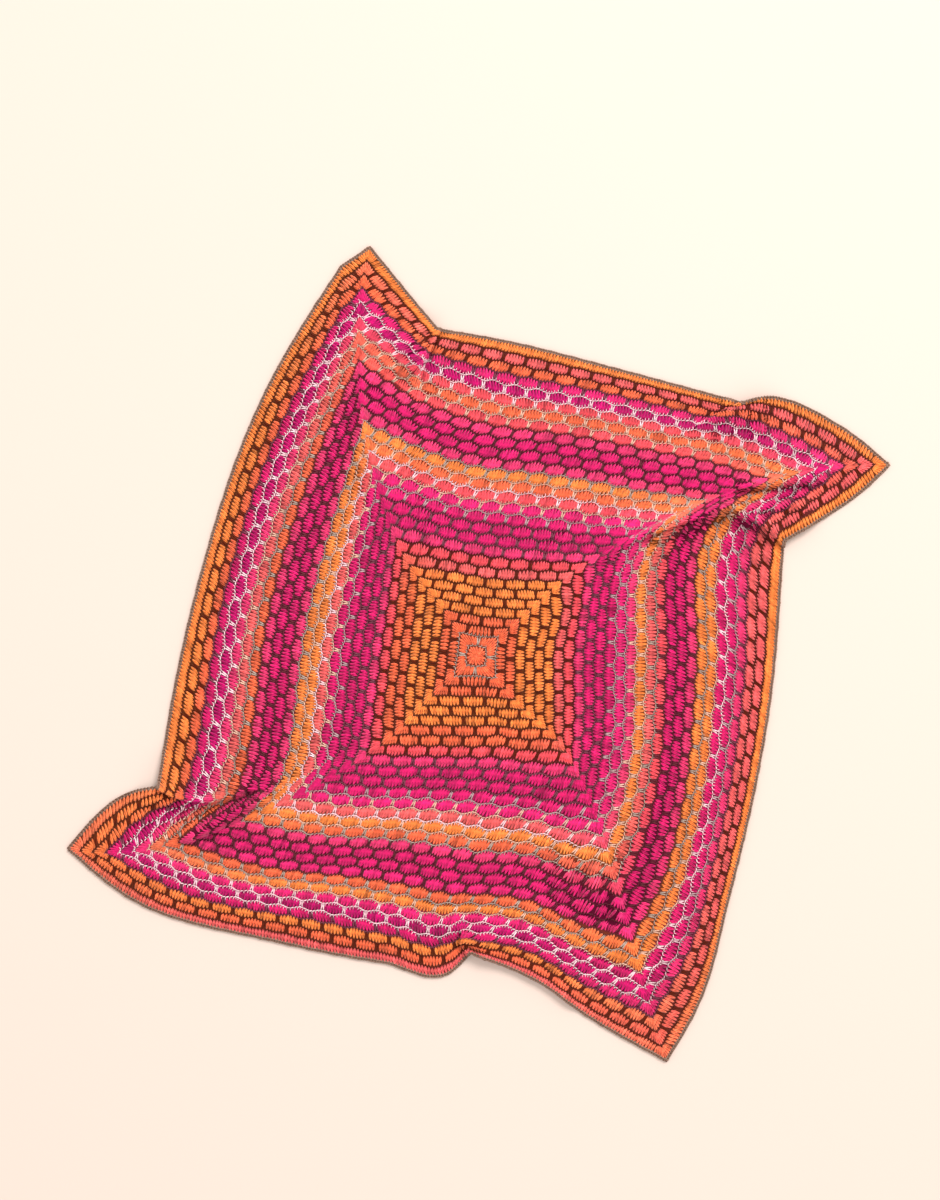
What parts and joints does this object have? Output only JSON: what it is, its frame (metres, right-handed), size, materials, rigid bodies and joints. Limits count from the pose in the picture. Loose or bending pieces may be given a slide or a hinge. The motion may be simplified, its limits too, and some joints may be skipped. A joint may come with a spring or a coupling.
{
  "type": "crochet blanket",
  "caption": "Square crocheted baby blanket in offset block stitch, worked from the centre out, laid flat with its corners folding over as ears.",
  "frame": {"origin": "the centre of the pattern, on the underside of the cloth, where it rests on the floor", "axes": "+Z out of the floor through the cloth, +X to the right and +Y up the cloth as the picture shows it from straight above"},
  "size_m": [0.9943, 0.9857, 0.0297],
  "materials": {
    "yarn": "matt spun yarn in dc blocks, running from orange through coral and pink to magenta, with thin rounds in grey, brown and cream between them"
  },
  "bodies": {
    "root": {"blanket": "yarn"}
  },
  "joints": []
}
